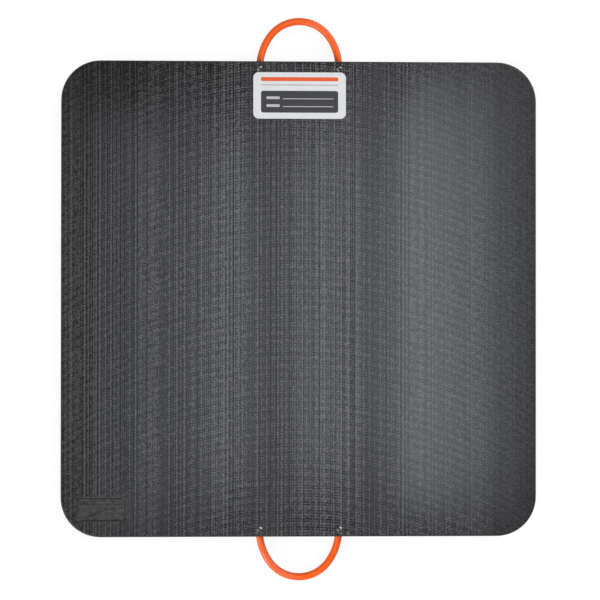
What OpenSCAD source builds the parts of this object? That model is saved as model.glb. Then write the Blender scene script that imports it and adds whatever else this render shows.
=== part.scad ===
// Crane outrigger pad: a square slab that spreads an outrigger's load over the ground.
// A carry loop is let into two opposite sides, and countersunk screws hold its legs.
// The origin is the middle of the underside, +Z is up and the loops stand out along Y.

/* [Pad] */
// Length of each side of the pad
pad_side = 609.6; // [450:0.1:1220]
// Thickness of the pad
pad_thickness = 25.4; // [20:0.1:60]
// Radius of the pad's corners, seen from above
corner_radius = 50.8; // [20:0.1:120]
// Radius that rounds the edges of the top and bottom faces
edge_radius = 2; // [0.5:0.1:4]

/* [Carry loops] */
// Diameter of the rod that a loop is bent from
rod_diameter = 9.5; // [7:0.1:12]
// Distance between the middles of a loop's two legs
leg_spacing = 102; // [80:0.1:160]
// Distance from the pad's side to the middle of the rod at the crown
loop_reach = 53.2; // [40:0.1:80]
// Length of each leg inside the pad
leg_depth = 40; // [25:0.5:80]
// Depth inside the pad at which the legs begin to bend
bend_depth = 6.6; // [1:0.1:7.5]
// Chamfer on the end of each leg
leg_chamfer = 1; // [0.3:0.1:2]

/* [Sockets] */
// Clearance around a leg in its socket
socket_clearance = 0.25; // [0.15:0.05:0.6]
// Clearance past the end of a leg
socket_end_clearance = 0.5; // [0.1:0.1:2]
// Chamfer at the mouth of a socket, which keeps its rim off the bent rod
mouth_chamfer = 2.5; // [1.5:0.1:4]
// Full angle of the drill point that ends a socket
drill_point_angle = 118; // [90:1:140]

/* [Screws] */
// Distance from the pad's side to the middle of a screw
screw_inset = 10; // [6:0.1:20]
// Diameter of a screw's head
head_diameter = 7; // [5:0.1:9]
// Height of the straight rim of a screw's head
head_rim = 0.3; // [0.1:0.05:0.8]
// Depth of a screw's head below the pad's top face
head_sink = 0.2; // [0.1:0.05:1]
// Diameter of a screw's shank
shank_diameter = 3.5; // [2.5:0.1:4.5]
// Length of a screw in the pad below the rod
screw_bite = 3; // [1:0.1:4]
// Length of a screw's pointed tip
tip_length = 2; // [1:0.1:3]
// Clearance around a screw in its hole
screw_clearance = 0.1; // [0.05:0.01:0.3]
// Span of the cross recess in a screw's head
recess_span = 4; // [2.5:0.1:5]
// Width of each arm of the cross recess
recess_width = 0.9; // [0.5:0.05:1.2]
// Depth of the cross recess
recess_depth = 1.6; // [0.8:0.1:2.2]

/* [Label plate] */
// Width of the label plate, along the pad's side
label_width = 118.8; // [60:0.1:160]
// Height of the label plate, away from the pad's side
label_height = 59.6; // [30:0.1:100]
// Radius of the label plate's corners
label_radius = 7; // [2:0.1:15]
// Thickness of the label plate
label_thickness = 1; // [0.5:0.1:3]
// Depth of the label plate below the pad's top face
label_sink = 0.2; // [0.1:0.05:1]
// Clearance around the label plate in its pocket
label_clearance = 0.2; // [0.1:0.05:0.5]
// Width of pad between the screw holes and the label's pocket
label_land = 0.5; // [0.3:0.1:20]

/* [Stamped panel] */
// Width of the stamped panel at the pad's top face
stamp_width = 64.5; // [30:0.5:120]
// Height of the stamped panel at the pad's top face
stamp_height = 31.5; // [22:0.5:60]
// Radius of the corners of the panel's floor
stamp_radius = 3.6; // [0.5:0.1:6]
// Depth of the stamped panel
stamp_depth = 2; // [0.6:0.1:4]
// Width of the sloped walls around the panel's floor
stamp_slope = 1.4; // [0.5:0.1:3]
// Width of the soft lip between the pad's top face and the walls
stamp_lip = 1; // [0.3:0.1:2]
// Depth to which the soft lip falls
lip_drop = 0.35; // [0.1:0.05:0.5]
// Distance along X and along Y from the pad's rounded corner to the panel's corner
stamp_margin = 4.8; // [3:0.1:40]
// Width of the raised rule across the panel
rule_width = 1.6; // [0.8:0.1:4]
// Depth of the raised rule below the pad's top face
rule_sink = 0.5; // [0.1:0.1:0.6]
// Distance from the panel's upper edge to the middle of the rule
rule_drop = 11.5; // [6:0.5:15]
// Distance from the panel's sides to the ends of the rule
rule_margin = 3; // [2:0.5:12]

/* [Hidden] */
$fn = 96;

// Length that a cut runs past the face it opens
cut_past = 1;

// Pad: the straight length between two corners, and half of a side
straight_side = pad_side - 2 * corner_radius;
half_side = pad_side / 2;
rod_height = pad_thickness / 2;

// Loop: two wide side arcs leave the legs and run into the crown's tighter arc.
// They meet on a shared tangent that falls 4 in 3, and the spacing and the rise then give both radii.
half_spacing = leg_spacing / 2;
rod_radius = rod_diameter / 2;
loop_rise = loop_reach + bend_depth;
meeting_angle = atan2(3, 4);
side_radius = 2 * loop_rise - half_spacing;
crown_radius = (3 * half_spacing - loop_rise) / 2;

// Socket: the leg with its clearances, ended by the drill's point
socket_radius = rod_radius + socket_clearance;
socket_depth = leg_depth + socket_end_clearance;
socket_point = socket_radius / tan(drill_point_angle / 2);

// Screw: through the pad's top wall and the rod, into the wall below
head_radius = head_diameter / 2;
shank_radius = shank_diameter / 2;
head_height = head_rim + head_radius - shank_radius;
head_top = pad_thickness - head_sink;
screw_length = head_top - rod_height + rod_radius + screw_bite;
screw_y = half_side - screw_inset;

// Label: its pocket ends short of the screw holes
pocket_top = screw_y - head_radius - screw_clearance - label_land;
label_y = pocket_top - label_clearance - label_height / 2;
label_bottom = pad_thickness - label_sink - label_thickness;

// Stamped panel: its corner stays inside the pad's rounded corner
stamp_inset = corner_radius * (1 - cos(45)) + stamp_margin;
stamp_x = stamp_inset + stamp_width / 2 - half_side;
stamp_y = stamp_inset + stamp_height / 2 - half_side;
stamp_corner = stamp_radius + stamp_slope + stamp_lip;

module rounded_rectangle(width, height, radius) {
    square([width - 2 * radius, height], center = true);
    square([width, height - 2 * radius], center = true);
    for (x = [-1, 1], y = [-1, 1])
        translate([x * (width / 2 - radius), y * (height / 2 - radius)])
            circle(radius);
}

// Section through the pad's edge, for a pad of the given width
module edge_section(width) {
    translate([0, pad_thickness / 2])
        rounded_rectangle(width, pad_thickness, edge_radius);
}

// Slab with round corners and rounded edges: two crossing bars and four turned corners
module slab() {
    for (turn = [0, 90])
        rotate([90, 0, turn])
            linear_extrude(straight_side, center = true)
                edge_section(pad_side);
    for (turn = [0 : 90 : 270])
        rotate(turn)
            translate([straight_side / 2, straight_side / 2, 0])
                rotate_extrude(angle = 90)
                    intersection() {
                        edge_section(2 * corner_radius);
                        square([corner_radius, pad_thickness]);
                    }
}

// Repeats what is drawn at one leg of the rear loop at the loop's other leg
module at_both_legs() {
    for (side = [0, 1])
        mirror([side, 0, 0])
            children();
}

// Repeats what is drawn at the rear side at the front side
module at_both_sides() {
    for (turn = [0, 180])
        rotate(turn)
            children();
}

// Blind socket for one leg of the rear loop
module leg_socket() {
    mouth_radius = socket_radius + mouth_chamfer;
    translate([half_spacing, half_side, rod_height])
        rotate([90, 0, 0])
            rotate_extrude()
                polygon([
                    [0, -cut_past],
                    [mouth_radius, -cut_past],
                    [mouth_radius, 0],
                    [socket_radius, mouth_chamfer],
                    [socket_radius, socket_depth],
                    [0, socket_depth + socket_point]
                ]);
}

// Half section of a screw, grown by a clearance and raised past its head to make its hole
module screw_section(grow = 0, raise = 0) {
    tip_grow = grow * tip_length / shank_radius;
    polygon([
        [0, raise],
        [head_radius + grow, raise],
        [head_radius + grow, -head_rim],
        [shank_radius + grow, -head_height],
        [shank_radius + grow, tip_length - screw_length],
        [0, -screw_length - tip_grow]
    ]);
}

// Place of the screw in one leg of the rear loop
module at_screw() {
    translate([half_spacing, screw_y, head_top])
        children();
}

// Hole that a screw makes through the pad's top wall, the rod and the wall below
module screw_hole() {
    at_screw()
        rotate_extrude()
            screw_section(screw_clearance, head_sink + cut_past);
}

// Tapered cross recess in a screw's head
module cross_recess() {
    intersection() {
        for (turn = [0, 90])
            rotate(turn)
                translate([0, 0, -recess_depth / 2])
                    cube([recess_span, recess_width, recess_depth + cut_past], center = true);
        translate([0, 0, -recess_depth])
            cylinder(h = recess_depth, r1 = recess_width / 2, r2 = recess_span / 2);
    }
}

// Outline of the label plate, in its place and grown by a clearance
module label_outline(grow = 0) {
    translate([0, label_y])
        rounded_rectangle(label_width + 2 * grow, label_height + 2 * grow, label_radius + grow);
}

module label_pocket() {
    translate([0, 0, label_bottom])
        linear_extrude(label_thickness + label_sink + cut_past)
            label_outline(label_clearance);
}

// Section through the stamped panel's hollow, for a hollow of the given width
module stamp_section(width) {
    mouth = width / 2;
    wall = mouth - stamp_lip;
    stamp_floor = wall - stamp_slope;
    wall_top = stamp_depth - lip_drop;
    polygon([
        [-mouth, stamp_depth + cut_past],
        [-mouth, stamp_depth],
        [-wall, wall_top],
        [-stamp_floor, 0],
        [stamp_floor, 0],
        [wall, wall_top],
        [mouth, stamp_depth],
        [mouth, stamp_depth + cut_past]
    ]);
}

// Hollow with a soft lip and sloped walls: two crossing bars and four turned corners
module stamp_hollow() {
    bar_x = stamp_width - 2 * stamp_corner;
    bar_y = stamp_height - 2 * stamp_corner;
    rotate([90, 0, 0])
        linear_extrude(bar_y, center = true)
            stamp_section(stamp_width);
    rotate([90, 0, 90])
        linear_extrude(bar_x, center = true)
            stamp_section(stamp_height);
    for (x = [-1, 1], y = [-1, 1])
        translate([x * bar_x / 2, y * bar_y / 2, 0])
            rotate_extrude()
                intersection() {
                    stamp_section(2 * stamp_corner);
                    square([stamp_corner, stamp_depth + cut_past]);
                }
}

// Shallow stamped panel with a raised rule across it
module stamped_panel() {
    translate([stamp_x, stamp_y, pad_thickness - stamp_depth])
        difference() {
            stamp_hollow();
            translate([0, stamp_height / 2 - rule_drop, 0])
                linear_extrude(stamp_depth - rule_sink)
                    square([stamp_width - 2 * rule_margin, rule_width], center = true);
        }
}

// One straight leg, from the bend to its chamfered end
module loop_leg() {
    body_length = leg_depth - bend_depth - leg_chamfer;
    cylinder(h = body_length, r = rod_radius);
    translate([0, 0, body_length])
        cylinder(h = leg_chamfer, r1 = rod_radius, r2 = rod_radius - leg_chamfer);
}

// Rod bent on an arc about the origin, from one angle to another
module bent_arc(radius, from, to) {
    rotate_extrude(angle = to - from, start = from)
        translate([radius, 0])
            circle(rod_radius);
}

// Bent rod of the rear loop: each half is a leg, a wide side arc and half of the crown
module bent_rod() {
    translate([0, half_side - bend_depth, rod_height])
        for (turn = [0, 180])
            rotate([0, turn, 0]) {
                translate([half_spacing, 0, 0])
                    rotate([90, 0, 0])
                        loop_leg();
                translate([half_spacing - side_radius, 0, 0])
                    bent_arc(side_radius, 0, meeting_angle);
                translate([0, loop_rise - crown_radius, 0])
                    bent_arc(crown_radius, meeting_angle, 90);
            }
}

// Rear loop with the holes that its screws pass through
module carry_loop() {
    difference() {
        bent_rod();
        at_both_legs()
            screw_hole();
    }
}

module pad() {
    color([0.16, 0.16, 0.17])
        difference() {
            slab();
            at_both_sides()
                at_both_legs() {
                    leg_socket();
                    screw_hole();
                }
            label_pocket();
            stamped_panel();
        }
}

module handle_rear() {
    color([0.95, 0.33, 0.08])
        carry_loop();
}

module handle_front() {
    color([0.95, 0.33, 0.08])
        rotate(180)
            carry_loop();
}

module handle_screws() {
    color([0.3, 0.3, 0.31])
        at_both_sides()
            at_both_legs()
                at_screw()
                    difference() {
                        rotate_extrude()
                            screw_section();
                        cross_recess();
                    }
}

module label_plate() {
    color([0.92, 0.92, 0.92])
        translate([0, 0, label_bottom])
            linear_extrude(label_thickness)
                label_outline();
}

pad();
handle_front();
handle_rear();
handle_screws();
label_plate();
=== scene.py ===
"""Looks of a crane outrigger pad: planed charcoal slab, orange carry loops, screws and a label plate."""
import math

import bmesh
import bpy
from mathutils import Matrix, Vector


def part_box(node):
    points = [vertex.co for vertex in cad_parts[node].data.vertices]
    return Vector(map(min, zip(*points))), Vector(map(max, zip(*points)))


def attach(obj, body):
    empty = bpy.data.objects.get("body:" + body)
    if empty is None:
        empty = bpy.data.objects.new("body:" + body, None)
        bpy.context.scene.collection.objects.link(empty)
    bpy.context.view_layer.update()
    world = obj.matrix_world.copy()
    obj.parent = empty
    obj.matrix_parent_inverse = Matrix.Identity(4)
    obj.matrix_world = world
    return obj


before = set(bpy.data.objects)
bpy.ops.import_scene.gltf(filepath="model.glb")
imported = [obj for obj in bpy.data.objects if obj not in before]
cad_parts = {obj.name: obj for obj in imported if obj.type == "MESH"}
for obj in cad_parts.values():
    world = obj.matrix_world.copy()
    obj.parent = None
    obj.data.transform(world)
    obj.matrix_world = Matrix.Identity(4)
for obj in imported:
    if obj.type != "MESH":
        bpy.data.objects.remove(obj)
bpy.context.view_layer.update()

MM = 0.001
WHITE = (1.0, 1.0, 1.0)

# Camera: where it looks, how it leans and its lens
CAMERA_TARGET = Vector((0.00072, -0.00155, 0.0254))
CAMERA_DISTANCE = 2.0
CAMERA_LEAN_X = math.radians(-1.633)
CAMERA_LEAN_Y = math.radians(-0.324)
CAMERA_ROLL = math.radians(0.052)
CAMERA_LENS_MM = 93.63
SENSOR_MM = 36.0

# Softbox: overhead panels side by side, bright and dim in turn, which the slab mirrors as its sheen.
# Each lies between two edges and has its own radiance, front end and rear end. Edges and ends are
# the places on the slab at which the camera sees them mirrored.
SOFTBOX_HEIGHT = 2.4
SOFTBOX_COLOUR = (0.89, 0.935, 1.04)
SHEEN_EDGES = (-0.252, -0.175, -0.125, -0.058, -0.01, 0.074, 0.122, 0.2, 0.27)
SHEEN_RADIANCE = (0.82, 0.2, 1.7, 0.1, 1.7, 0.6, 2.5, 1.15)
SHEEN_FRONT = (-0.315, -0.305, -0.29, -0.28, -0.275, -0.272, -0.272, -0.272)
SHEEN_REAR = (0.242, 0.236, 0.232, 0.238, 0.245, 0.252, 0.28, 0.288)

# Other lights: the key and the fill are large and soft. The glint is small and lights only its
# takers, because the slab's face would mirror it as a glare.
WORLD_LEVEL = 0.25
KEY_PLACE = (-1.9, -2.05, 1.9)
KEY_SIZE = 4.0
KEY_RADIANCE = 1.25
FILL_PLACE = (2.0, 1.6, 1.8)
FILL_SIZE = 4.0
FILL_RADIANCE = 1.1
GLINT_PLACE = (-1.3, -1.4, 1.61)
GLINT_WIDTH = 0.5
GLINT_HEIGHT = 0.07
GLINT_RADIANCE = 120.0
GLINT_TAKERS = ("handle_front", "handle_rear", "handle_screws")
LAMP_AIM = (0.0, 0.0, 0.0)
# Power that gives a lamp of one square metre a radiance of one
WATTS_PER_RADIANCE = 4.0

# Backdrop: a white floor that curves up into a low round wall
FLOOR_RADIUS = 7.0
COVE_RADIUS = 1.0
COVE_STEPS = 8
WALL_TOP = 2.6
TURN_STEPS = 64
BACKDROP_GLOW = 0.86
BACKDROP_ALBEDO = 0.2

# Planed face of the slab: streaks along Y, flecks and the arcs that the cutter left across it.
# Grain sizes are along X, Y and Z.
STREAK_LENGTH = 4.5
STREAK_GRAIN = (2.4 * MM, STREAK_LENGTH, 1.0)
BAND_GRAIN = (40 * MM, 4 * STREAK_LENGTH, 1.0)
FLECK_GRAIN = (2.2 * MM, 1.9 * MM, 2.2 * MM)
CUTTER_RADIUS = 0.552
CUTTER_MIDDLE = -0.004
CUTTER_PITCH = 10.68 * MM
CUTTER_KNIVES = 3
FACE_TONE = 0.255
FACE_RELIEF = 0.8 * MM

# Shares of the streaks' tone, of the finer marks' tone and of the relief across the slab.
# Each rises over a first stretch along X and falls over a second: start, end and the levels there.
STREAK_SHARE = ((-0.32, 0.0, 0.26, 1.0), (0.06, 0.28, 1.0, 0.07))
MARK_SHARE = ((-0.30, -0.04, 0.34, 1.0), (0.15, 0.3, 1.1, 0.25))
RELIEF_SHARE = ((-0.27, -0.02, 0.2, 1.0), (0.04, 0.2, 1.0, 0.05))
# Painted shade: along Y, the whole tone of the face fades towards the front and rear sides
SIDE_PAINTED_SHADE = ((-0.31, -0.15, 0.68, 1.0), (0.02, 0.31, 1.0, 0.58))
# Painted shade: along X, the face darkens towards its right rim
RIM_PAINTED_SHADE = (0.262, 0.298, 1.0, 0.3)
# Stretch along X over which the face turns duller, with softer mirror images
DULLER_FROM = (0.06, 0.2)

# Strips that the planer left dull and rougher, whose tone is also painted darker as painted shade: the
# middle of each along X, its half width and how dull it is
DULL_STRIPS = ((-0.148, 0.05, 0.7), (-0.036, 0.048, 1.3), (0.096, 0.05, 1.0))

# Routed sides of the slab: how far up a flat face looks, and the lines that the router left
FLAT_FROM = (0.97, 0.999)
ROUTED_GRAIN = (14 * MM, 14 * MM, 0.8 * MM)
ROUTED_RELIEF = 0.25 * MM

# Stamped panel: its middle, its half size, the heights of its parts and the blots on its floor
PANEL_MIDDLE = (-252.9 * MM, -269.4 * MM)
PANEL_HALF = (32.3 * MM, 15.8 * MM)
PANEL_MOUTH = 25.36 * MM
PANEL_FLOOR = 23.45 * MM
PANEL_LIP = 25.0 * MM
RULE_TOP = 24.9 * MM
RULE_REACH = 0.08 * MM
BLOT_GRAIN = (7 * MM, 3 * MM, 7 * MM)
BLOT_RELIEF = 0.3 * MM

# Screw heads: the middle of one, and the radius of the hollow that the head is dished to
SCREW_MIDDLE = (51 * MM, 294.8 * MM)
SCREW_DISH = 6 * MM

# Round grains of the other materials, and the depth of their relief
LOOP_CLOUD = 14 * MM
LOOP_RIPPLE = 3 * MM
LOOP_RELIEF = 0.03 * MM
SCREW_CLOUD = 1.2 * MM
SCREW_RELIEF = 0.04 * MM
LABEL_CLOUD = 22 * MM
LABEL_PEEL = 1.6 * MM
LABEL_RELIEF = 0.02 * MM
INK_SPECKLE = 0.9 * MM
INK_RELIEF = 0.01 * MM

# Colours of each material, from its darkest to its lightest
PAD_COLOURS = ((0.0015, 0.0015, 0.0016), (0.105, 0.105, 0.107))
LOOP_COLOURS = ((0.93, 0.100, 0.003), (1.0, 0.128, 0.005))
SCREW_COLOURS = ((0.07, 0.07, 0.072), (0.25, 0.25, 0.25))
LABEL_COLOURS = ((0.79, 0.80, 0.81), (0.89, 0.90, 0.91))
DARK_COLOURS = ((0.026, 0.027, 0.030), (0.046, 0.047, 0.050))
ORANGE_COLOURS = ((0.86, 0.10, 0.010), (0.98, 0.135, 0.016))
GREY_COLOURS = ((0.30, 0.30, 0.31), (0.40, 0.40, 0.41))
PALE_COLOURS = ((0.52, 0.52, 0.53), (0.62, 0.62, 0.63))

# Roughness of each material before its marks change it, and how strongly it mirrors
PAD_ROUGHNESS = 0.11
LOOP_ROUGHNESS = 0.08
SCREW_ROUGHNESS = 0.28
LABEL_ROUGHNESS = 0.4
INK_ROUGHNESS = 0.42
PAD_IOR = 1.6
LABEL_IOR = 1.5
LOOP_SPECULAR = 0.45

# Print on the label plate. Each field is in mm from the plate's middle: across, up, width, height
# and corner radius. A row's bar and line are measured from the row's own height.
PRINT_THICKNESS = 0.05 * MM
PRINT_CORNER_STEPS = 8
DARK_FIELD = (0, -8, 99, 28, 3)
ORANGE_RULE = (0, 21, 99, 5, 1.5)
GREY_LINE = (0, 13.5, 99, 0.9, 0.4)
ROW_HEIGHTS = (-3, -13)
ROW_BAR = (-34, 0, 17, 3.4, 0.8)
ROW_LINE = (11, -1.2, 65, 1, 0.4)


class Tree:
    """A material's node tree, with short calls to add nodes and wire them up."""

    def __init__(self, name):
        self.material = bpy.data.materials.new(name)
        self.material.use_nodes = True
        self.nodes = self.material.node_tree.nodes
        self.links = self.material.node_tree.links
        self.nodes.clear()

    def put(self, socket, value):
        """Links another node's output to a socket, or sets the socket's own value."""
        if isinstance(value, bpy.types.NodeSocket):
            self.links.new(value, socket)
        else:
            socket.default_value = value

    def add(self, kind, settings=None, **inputs):
        """Adds a node; each input is named with _ in place of a space."""
        node = self.nodes.new(kind)
        for key, value in (settings or {}).items():
            setattr(node, key, value)
        for key, value in inputs.items():
            self.put(node.inputs[key.replace("_", " ")], value)
        return node

    def math(self, operation, first, second=None, clamp=False):
        """Adds a Math node and returns its output."""
        node = self.nodes.new("ShaderNodeMath")
        node.operation = operation
        node.use_clamp = clamp
        self.put(node.inputs[0], first)
        if second is not None:
            self.put(node.inputs[1], second)
        return node.outputs[0]

    def joined(self, operation, values):
        """One value from several, joined one after another by a Math operation."""
        total = values[0]
        for value in values[1:]:
            total = self.math(operation, total, value)
        return total

    def weighted(self, *terms):
        """The sum of value times weight."""
        parts = [self.math("MULTIPLY", value, weight) for value, weight in terms]
        return self.joined("ADD", parts)

    def aside(self, value, middle):
        """How far a value lies from a middle, to either side."""
        return self.math("ABSOLUTE", self.math("SUBTRACT", value, middle))

    def split(self, vector):
        """The X, Y and Z of a vector."""
        return self.add("ShaderNodeSeparateXYZ", Vector=vector).outputs[:]

    def place(self):
        """The point's place in the frame, in metres."""
        return self.nodes.new("ShaderNodeTexCoord").outputs["Object"]

    def normal_up(self):
        """How far the surface faces up, from -1 to 1, before any bump."""
        return self.split(self.nodes.new("ShaderNodeTexCoord").outputs["Normal"])[2]

    def noise(self, vector, grain, detail=1.0):
        """Noise about 0, whose grains have the given size along X, Y and Z."""
        scale = tuple(1 / length for length in grain)
        mapping = self.add("ShaderNodeMapping", Vector=vector, Scale=scale)
        noise = self.add("ShaderNodeTexNoise", Vector=mapping.outputs["Vector"], Scale=1.0, Detail=detail)
        return self.math("SUBTRACT", noise.outputs["Fac"], 0.5)

    def round_noise(self, vector, size, detail=1.0):
        """Noise about 0 with round grains of the given size."""
        return self.noise(vector, (size, size, size), detail)

    def ramp(self, factor, low, high):
        """A colour between low and high."""
        mix = self.nodes.new("ShaderNodeMix")
        mix.data_type = "RGBA"
        self.put(mix.inputs["Factor"], factor)
        self.put(mix.inputs["A"], (*low, 1.0))
        self.put(mix.inputs["B"], (*high, 1.0))
        return mix.outputs["Result"]

    def between(self, value, start, end, low=0.0, high=1.0):
        """Goes smoothly from low to high as value goes from start to end."""
        node = self.add(
            "ShaderNodeMapRange",
            {"interpolation_type": "SMOOTHSTEP"},
            Value=value,
            From_Min=start,
            From_Max=end,
            To_Min=low,
            To_Max=high,
        )
        return node.outputs["Result"]

    def bump(self, height, depth, strength=1.0, normal=None):
        """The normal of a surface whose height of 1 stands for that depth, over another normal."""
        node = self.add("ShaderNodeBump", Height=height, Strength=strength, Distance=depth)
        if normal is not None:
            self.links.new(normal, node.inputs["Normal"])
        return node.outputs["Normal"]

    def finish(self, **inputs):
        """Ends in a Principled shader with these inputs."""
        shader = self.add("ShaderNodeBsdfPrincipled", **inputs)
        output = self.nodes.new("ShaderNodeOutputMaterial")
        self.links.new(shader.outputs["BSDF"], output.inputs["Surface"])
        return self.material


def cutter_arcs(tree, x, y):
    """Ripple of the planer's head: one wave a turn and a finer one for each knife."""
    off_middle = tree.math("SUBTRACT", x, CUTTER_MIDDLE)
    square = tree.math("MULTIPLY", off_middle, off_middle)
    rise = tree.math("SQRT", tree.math("SUBTRACT", CUTTER_RADIUS**2, square))
    along = tree.math("SUBTRACT", y, rise)
    turn = tree.math("MULTIPLY", along, 2 * math.pi / CUTTER_PITCH)
    head = tree.math("SINE", turn)
    knives = tree.math("SINE", tree.math("MULTIPLY", turn, CUTTER_KNIVES))
    return head, knives


def inside_panel(tree, x, y):
    """1 over the stamped panel and 0 elsewhere on the slab."""
    near = []
    for value, middle, half in zip((x, y), PANEL_MIDDLE, PANEL_HALF):
        near.append(tree.math("LESS_THAN", tree.aside(value, middle), half))
    return tree.joined("MULTIPLY", near)


def dull_strips(tree, x):
    """How dull the face is: each strip's own level along its middle, and 0 beyond the strips."""
    strips = []
    for middle, half, level in DULL_STRIPS:
        strips.append(tree.between(tree.aside(x, middle), 0.0, half, level, 0.0))
    return tree.joined("ADD", strips)


def share(tree, along, rise, fall):
    """A share that rises from one edge of the slab and falls again towards the opposite edge."""
    return tree.math("MULTIPLY", tree.between(along, *rise), tree.between(along, *fall))


def pad_regions(tree, x, y, z):
    """Shares of the planed face, of the routed sides and of the stamped panel's parts."""
    panel = inside_panel(tree, x, y)
    up = tree.math("ABSOLUTE", tree.normal_up())
    flat = tree.math("MAXIMUM", tree.between(up, *FLAT_FROM), panel)
    hollow = tree.math("MULTIPLY", panel, tree.math("LESS_THAN", z, PANEL_MOUTH))
    floor = tree.math("MULTIPLY", panel, tree.math("LESS_THAN", z, PANEL_FLOOR))
    lip = tree.math("MULTIPLY", hollow, tree.math("GREATER_THAN", z, PANEL_LIP))
    on_rule = tree.math("LESS_THAN", tree.aside(z, RULE_TOP), RULE_REACH)
    rule = tree.math("MULTIPLY", hollow, on_rule)
    planed = tree.math("SUBTRACT", flat, hollow)
    side = tree.math("SUBTRACT", 1.0, flat)
    return planed, side, hollow, floor, lip, rule


def planed_face(tree, x, y, place):
    """Tone, gloss and relief of the planed face: streaks, flecks and the cutter's arcs."""
    grain = tree.noise(place, STREAK_GRAIN)
    bands = tree.noise(place, BAND_GRAIN)
    flecks = tree.noise(place, FLECK_GRAIN)
    dull = dull_strips(tree, x)
    head, knives = cutter_arcs(tree, x, y)
    weave = tree.math("MULTIPLY", grain, knives)
    streaks = tree.math("MULTIPLY", grain, share(tree, x, *STREAK_SHARE))
    marks = tree.weighted((flecks, 2.9), (weave, 3.4), (head, 0.15), (knives, 0.16))
    marks = tree.math("MULTIPLY", marks, share(tree, x, *MARK_SHARE))
    # The dull strips are rougher, and their tone is painted darker as painted shade
    tone = tree.weighted((streaks, 7.4), (marks, 1.2), (bands, 0.8), (dull, -0.22))
    duller = tree.between(x, *DULLER_FROM)
    gloss = tree.weighted((streaks, 0.2), (flecks, 0.15), (dull, 0.14), (duller, 0.08))
    relief = tree.weighted((grain, 0.7), (head, 0.02), (knives, 0.015), (flecks, 0.15))
    relief = tree.math("MULTIPLY", relief, share(tree, x, *RELIEF_SHARE))
    return tone, gloss, relief


def pad_material():
    """Charcoal polyethylene with a planed face, routed sides and the stamped panel."""
    tree = Tree("pad_plastic")
    place = tree.place()
    x, y, z = tree.split(place)
    planed, side, hollow, floor, lip, rule = pad_regions(tree, x, y, z)
    tone, gloss, relief = planed_face(tree, x, y, place)
    lines = tree.noise(place, ROUTED_GRAIN, detail=2.0)
    blots = tree.noise(place, BLOT_GRAIN, detail=3.0)
    # Painted shade: the face's tone is painted darker towards its right rim
    ground = tree.math("MULTIPLY", tree.between(x, *RIM_PAINTED_SHADE), FACE_TONE)
    # Painted shade: the whole tone of the face fades towards its front and rear sides
    tone = tree.math("MULTIPLY", tree.math("ADD", tone, ground), share(tree, y, *SIDE_PAINTED_SHADE))
    face = tree.math("MULTIPLY", tone, planed)
    routed = tree.math("MULTIPLY", lines, side)
    pressed = tree.math("MULTIPLY", blots, floor)
    # Painted shade: the routed sides and the rounded edges get a near-black tone, much darker than the
    # face
    sides = tree.weighted((routed, 1.0), (side, 0.04))
    # Painted shade and highlight: the hollow's walls and lip get a low tone, darker than the face, and
    # the rule's top a high tone, painted lighter
    stamped = tree.weighted((pressed, 1.2), (hollow, 0.1), (floor, 0.2), (rule, 0.45), (lip, 0.04))
    factor = tree.math("ADD", face, tree.math("ADD", sides, stamped), clamp=True)
    colour = tree.ramp(factor, *PAD_COLOURS)
    gloss = tree.math("MULTIPLY", gloss, planed)
    rough = tree.weighted((gloss, 1.0), (hollow, 0.12), (lip, 0.27), (side, 0.5))
    roughness = tree.math("ADD", rough, PAD_ROUGHNESS)
    normal = tree.bump(relief, FACE_RELIEF, planed)
    normal = tree.bump(blots, BLOT_RELIEF, hollow, normal)
    normal = tree.bump(lines, ROUTED_RELIEF, side, normal)
    return tree.finish(Base_Color=colour, Roughness=roughness, Normal=normal, IOR=PAD_IOR)


def loop_material():
    """Glossy orange plastic, a little cloudy and rippled."""
    tree = Tree("loop_plastic")
    place = tree.place()
    clouds = tree.round_noise(place, LOOP_CLOUD, detail=2.0)
    ripple = tree.round_noise(place, LOOP_RIPPLE)
    factor = tree.math("ADD", clouds, 0.5, clamp=True)
    colour = tree.ramp(factor, *LOOP_COLOURS)
    roughness = tree.math("ADD", tree.weighted((ripple, 0.08), (clouds, 0.05)), LOOP_ROUGHNESS)
    normal = tree.bump(ripple, LOOP_RELIEF)
    return tree.finish(
        Base_Color=colour,
        Roughness=roughness,
        Normal=normal,
        Specular_IOR_Level=LOOP_SPECULAR,
    )


def screw_dish(tree, x, y):
    """How far the dished head rises from its middle outwards, in mm."""
    squares = []
    for value, middle in zip((x, y), SCREW_MIDDLE):
        off_middle = tree.math("SUBTRACT", tree.math("ABSOLUTE", value), middle)
        squares.append(tree.math("MULTIPLY", off_middle, off_middle))
    return tree.math("MULTIPLY", tree.joined("ADD", squares), 0.5 / SCREW_DISH / MM)


def screw_material():
    """Dark coated steel, with a slight dish in each head."""
    tree = Tree("screw_steel")
    place = tree.place()
    clouds = tree.round_noise(place, SCREW_CLOUD, detail=2.0)
    factor = tree.math("ADD", clouds, 0.5, clamp=True)
    colour = tree.ramp(factor, *SCREW_COLOURS)
    roughness = tree.math("ADD", tree.weighted((clouds, 0.2)), SCREW_ROUGHNESS)
    normal = tree.bump(screw_dish(tree, *tree.split(place)[:2]), MM)
    normal = tree.bump(clouds, SCREW_RELIEF, normal=normal)
    return tree.finish(Base_Color=colour, Metallic=1.0, Roughness=roughness, Normal=normal)


def label_material():
    """White plastic plate, faintly cloudy, with a fine peel."""
    tree = Tree("label_plastic")
    place = tree.place()
    clouds = tree.round_noise(place, LABEL_CLOUD, detail=2.0)
    peel = tree.round_noise(place, LABEL_PEEL)
    factor = tree.math("ADD", tree.weighted((clouds, 0.8), (peel, 0.25)), 0.5, clamp=True)
    colour = tree.ramp(factor, *LABEL_COLOURS)
    roughness = tree.math("ADD", tree.weighted((peel, 0.15), (clouds, 0.1)), LABEL_ROUGHNESS)
    normal = tree.bump(peel, LABEL_RELIEF)
    return tree.finish(Base_Color=colour, Roughness=roughness, Normal=normal, IOR=LABEL_IOR)


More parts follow.
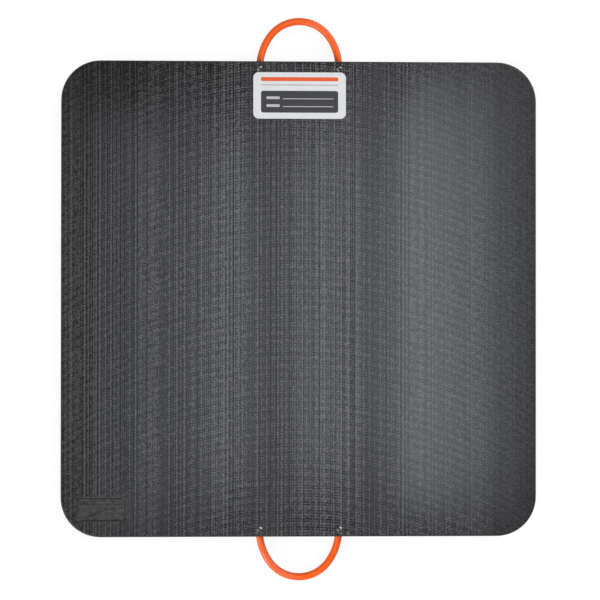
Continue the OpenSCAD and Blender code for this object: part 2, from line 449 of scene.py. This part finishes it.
def ink_material(name, colours):
    """Printed ink, a little uneven in tone and gloss."""
    tree = Tree(name)
    speckle = tree.round_noise(tree.place(), INK_SPECKLE, detail=2.0)
    factor = tree.math("ADD", speckle, 0.5, clamp=True)
    colour = tree.ramp(factor, *colours)
    roughness = tree.math("ADD", tree.weighted((speckle, 0.2)), INK_ROUGHNESS)
    normal = tree.bump(speckle, INK_RELIEF)
    return tree.finish(Base_Color=colour, Roughness=roughness, Normal=normal, IOR=LABEL_IOR)


def backdrop_material():
    """White to the camera and in reflections, with a share of real shade on it."""
    tree = Tree("backdrop")
    path = tree.nodes.new("ShaderNodeLightPath").outputs
    rays = [path["Is Camera Ray"], path["Is Glossy Ray"], path["Is Transmission Ray"]]
    seen = tree.joined("MAXIMUM", rays)
    shade = tree.add("ShaderNodeBsdfDiffuse", Color=(BACKDROP_ALBEDO,) * 3 + (1.0,))
    strength = tree.math("MULTIPLY", seen, BACKDROP_GLOW)
    glow = tree.add("ShaderNodeEmission", Strength=strength)
    total = tree.nodes.new("ShaderNodeAddShader")
    tree.links.new(shade.outputs[0], total.inputs[0])
    tree.links.new(glow.outputs[0], total.inputs[1])
    output = tree.nodes.new("ShaderNodeOutputMaterial")
    tree.links.new(total.outputs[0], output.inputs["Surface"])
    return tree.material


def dress(node, material):
    """Gives a node of the frame its finished material."""
    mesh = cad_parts[node].data
    mesh.materials.clear()
    mesh.materials.append(material)


def mesh_object(name, bm):
    """Turns a bmesh into an object in the scene."""
    mesh = bpy.data.meshes.new(name)
    bm.to_mesh(mesh)
    bm.free()
    thing = bpy.data.objects.new(name, mesh)
    bpy.context.scene.collection.objects.link(thing)
    return thing


def build_backdrop():
    """Floor, cove and wall as one turned sheet."""
    profile = [(0.0, 0.0), (FLOOR_RADIUS, 0.0)]
    for step in range(1, COVE_STEPS + 1):
        turn = math.radians(90 * step / COVE_STEPS)
        out = FLOOR_RADIUS + COVE_RADIUS * math.sin(turn)
        profile.append((out, COVE_RADIUS * (1 - math.cos(turn))))
    profile.append((FLOOR_RADIUS + COVE_RADIUS, WALL_TOP))
    bm = bmesh.new()
    points = [bm.verts.new((out, 0.0, up)) for out, up in profile]
    edges = [bm.edges.new(pair) for pair in zip(points, points[1:])]
    bmesh.ops.spin(
        bm,
        geom=points + edges,
        cent=(0, 0, 0),
        axis=(0, 0, 1),
        angle=2 * math.pi,
        steps=TURN_STEPS,
    )
    bmesh.ops.remove_doubles(bm, verts=bm.verts, dist=MM)
    backdrop = mesh_object("backdrop", bm)
    for face in backdrop.data.polygons:
        face.use_smooth = True
    backdrop.data.materials.append(backdrop_material())


def rounded_outline(width, height, radius):
    """Points round a rectangle with round corners, about its middle."""
    points = []
    for quarter in range(4):
        turn = math.pi / 2 * quarter
        side_x = 1 if quarter in (0, 3) else -1
        side_y = 1 if quarter in (0, 1) else -1
        middle = Vector((side_x * (width / 2 - radius), side_y * (height / 2 - radius)))
        for step in range(PRINT_CORNER_STEPS + 1):
            angle = turn + math.pi / 2 * step / PRINT_CORNER_STEPS
            points.append(middle + radius * Vector((math.cos(angle), math.sin(angle))))
    return points


def print_field(name, fields, material, lift=0.0):
    """One colour of print on the label plate, as thin fields with round corners."""
    low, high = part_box("label_plate")
    middle = (low + high) / 2
    bm = bmesh.new()
    for across, up, width, height, radius in fields:
        outline = rounded_outline(width * MM, height * MM, radius * MM)
        at = Vector((middle.x + across * MM, middle.y + up * MM, high.z + lift))
        corners = [bm.verts.new((at.x + point.x, at.y + point.y, at.z)) for point in outline]
        face = bm.faces.new(corners)
        lifted = bmesh.ops.extrude_face_region(bm, geom=[face])["geom"]
        tops = [item for item in lifted if isinstance(item, bmesh.types.BMVert)]
        bmesh.ops.translate(bm, verts=tops, vec=(0, 0, PRINT_THICKNESS))
    bmesh.ops.recalc_face_normals(bm, faces=bm.faces)
    piece = mesh_object(name, bm)
    piece.data.materials.append(material)
    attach(piece, "root")


def build_print():
    """A generic rating plate: an orange rule over a dark field with blank lines to write on."""
    rows = []
    for row in ROW_HEIGHTS:
        for across, up, *size in (ROW_BAR, ROW_LINE):
            rows.append((across, row + up, *size))
    dark = ink_material("ink_dark", DARK_COLOURS)
    orange = ink_material("ink_orange", ORANGE_COLOURS)
    grey = ink_material("ink_grey", GREY_COLOURS)
    pale = ink_material("ink_pale", PALE_COLOURS)
    print_field("print_field", [DARK_FIELD], dark)
    print_field("print_rule", [ORANGE_RULE], orange)
    print_field("print_lines", [GREY_LINE], grey)
    print_field("print_rows", rows, pale, PRINT_THICKNESS)


def area_light(name, place, width, height, radiance, aim=LAMP_AIM, colour=WHITE):
    """A rectangular light of the given radiance that shines from place towards aim."""
    data = bpy.data.lights.new(name, "AREA")
    data.shape = "RECTANGLE"
    data.size = width
    data.size_y = height
    data.energy = radiance * width * height * WATTS_PER_RADIANCE
    data.color = colour
    lamp = bpy.data.objects.new(name, data)
    lamp.location = place
    lamp.rotation_mode = "QUATERNION"
    lamp.rotation_quaternion = (Vector(aim) - Vector(place)).to_track_quat("-Z", "Y")
    lamp.visible_camera = False
    bpy.context.scene.collection.objects.link(lamp)
    return lamp


def mirrored(x, y):
    """The point of the softbox's plane that the camera sees mirrored at a place on the slab."""
    eye = bpy.context.scene.camera.location
    slab_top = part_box("pad")[1].z
    reach = (SOFTBOX_HEIGHT - slab_top) / (eye.z - slab_top)
    return x + (x - eye.x) * reach, y + (y - eye.y) * reach


def build_softbox():
    """Overhead panels side by side, each of its own radiance, that shine straight down."""
    panels = zip(SHEEN_EDGES, SHEEN_EDGES[1:], SHEEN_FRONT, SHEEN_REAR, SHEEN_RADIANCE)
    for number, (left, right, front, rear, radiance) in enumerate(panels):
        low_x, low_y = mirrored(left, front)
        high_x, high_y = mirrored(right, rear)
        place = Vector(((low_x + high_x) / 2, (low_y + high_y) / 2, SOFTBOX_HEIGHT))
        name = "softbox_%d" % number
        below = place - Vector((0, 0, 1))
        area_light(name, place, high_x - low_x, high_y - low_y, radiance, below, SOFTBOX_COLOUR)


def build_glint():
    """A small bright lamp for the glints, linked to its takers alone."""
    lamp = area_light("glint", GLINT_PLACE, GLINT_WIDTH, GLINT_HEIGHT, GLINT_RADIANCE)
    takers = bpy.data.collections.new("glint_takers")
    for node in GLINT_TAKERS:
        takers.objects.link(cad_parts[node])
    lamp.light_linking.receiver_collection = takers


def build_world():
    """An even white surround."""
    world = bpy.data.worlds.new("studio")
    world.use_nodes = True
    background = world.node_tree.nodes["Background"]
    background.inputs["Color"].default_value = (*WHITE, 1.0)
    background.inputs["Strength"].default_value = WORLD_LEVEL
    bpy.context.scene.world = world


def build_lights():
    """The world, the softbox, the key, the fill and the glint."""
    build_world()
    build_softbox()
    area_light("key", KEY_PLACE, KEY_SIZE, KEY_SIZE, KEY_RADIANCE)
    area_light("fill", FILL_PLACE, FILL_SIZE, FILL_SIZE, FILL_RADIANCE)
    build_glint()


def build_camera():
    """The photo's camera, almost straight above the pad."""
    data = bpy.data.cameras.new("camera")
    data.sensor_width = SENSOR_MM
    data.lens = CAMERA_LENS_MM
    across, up = math.sin(CAMERA_LEAN_X), math.sin(CAMERA_LEAN_Y)
    back = Vector((across, up, math.sqrt(1 - across**2 - up**2)))
    right = Vector((-math.sin(CAMERA_ROLL), math.cos(CAMERA_ROLL), 0)).cross(back).normalized()
    camera = bpy.data.objects.new("camera", data)
    turn = Matrix((right, back.cross(right), back)).transposed()
    camera.matrix_world = Matrix.Translation(CAMERA_TARGET + CAMERA_DISTANCE * back) @ turn.to_4x4()
    bpy.context.scene.collection.objects.link(camera)
    bpy.context.scene.camera = camera


bpy.context.scene.view_settings.view_transform = "Standard"
build_camera()
build_lights()
build_backdrop()
dress("pad", pad_material())
orange_plastic = loop_material()
dress("handle_front", orange_plastic)
dress("handle_rear", orange_plastic)
dress("handle_screws", screw_material())
dress("label_plate", label_material())
build_print()
